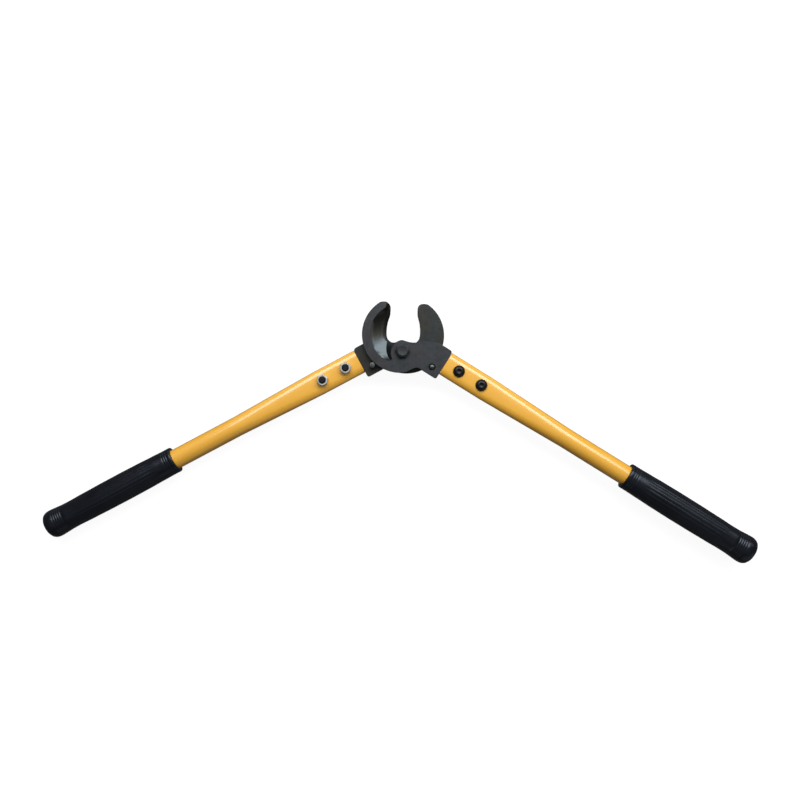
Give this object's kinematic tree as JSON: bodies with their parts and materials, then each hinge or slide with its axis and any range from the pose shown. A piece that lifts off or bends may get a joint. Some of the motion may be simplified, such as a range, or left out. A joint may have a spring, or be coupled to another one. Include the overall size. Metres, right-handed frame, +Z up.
{
  "type": "cable cutter",
  "caption": "Two-handed cable cutter, open: hooked ground blades crossing at a bolted pivot, on long painted tube handles with sleeve grips.",
  "frame": {"origin": "centre of the pivot bolt's flat lower end, on the pivot's axis", "axes": "+X across the opened handles towards the right one, +Y towards the jaws, +Z up along the pivot's axis, out of the bolt's head"},
  "size_m": [0.8844, 0.3075, 0.0479],
  "materials": {
    "blade_steel": "dark ground and oiled",
    "bolt_steel": "dark satin",
    "pin_steel": "turned",
    "zinc_plate": "zinc plated",
    "black_oxide": "black oxide, satin",
    "tube_paint": "glossy enamel",
    "grip_rubber": "satin moulded"
  },
  "bodies": {
    "front_half": {"front_blade": "blade_steel", "front_stop_pin": "pin_steel", "pivot_bolt": "bolt_steel", "pivot_washer": "zinc_plate", "pivot_spring_washer": "zinc_plate", "pivot_nut": "zinc_plate", "right_tube": "tube_paint", "right_grip": "grip_rubber", "right_screw_inner": "black_oxide", "right_nut_inner": "zinc_plate", "right_screw_outer": "black_oxide", "right_nut_outer": "zinc_plate"},
    "rear_half": {"rear_blade": "blade_steel", "rear_stop_pin": "pin_steel", "left_tube": "tube_paint", "left_grip": "grip_rubber", "left_screw_inner": "black_oxide", "left_nut_inner": "zinc_plate", "left_screw_outer": "black_oxide", "left_nut_outer": "zinc_plate"}
  },
  "joints": [
    {"name": "blade_pivot", "type": "hinge", "parent": "front_half", "child": "rear_half", "pos_m": [0, 0, 0.025], "axis": [0, 0, 1], "range_deg": [0, 107]}
  ]
}
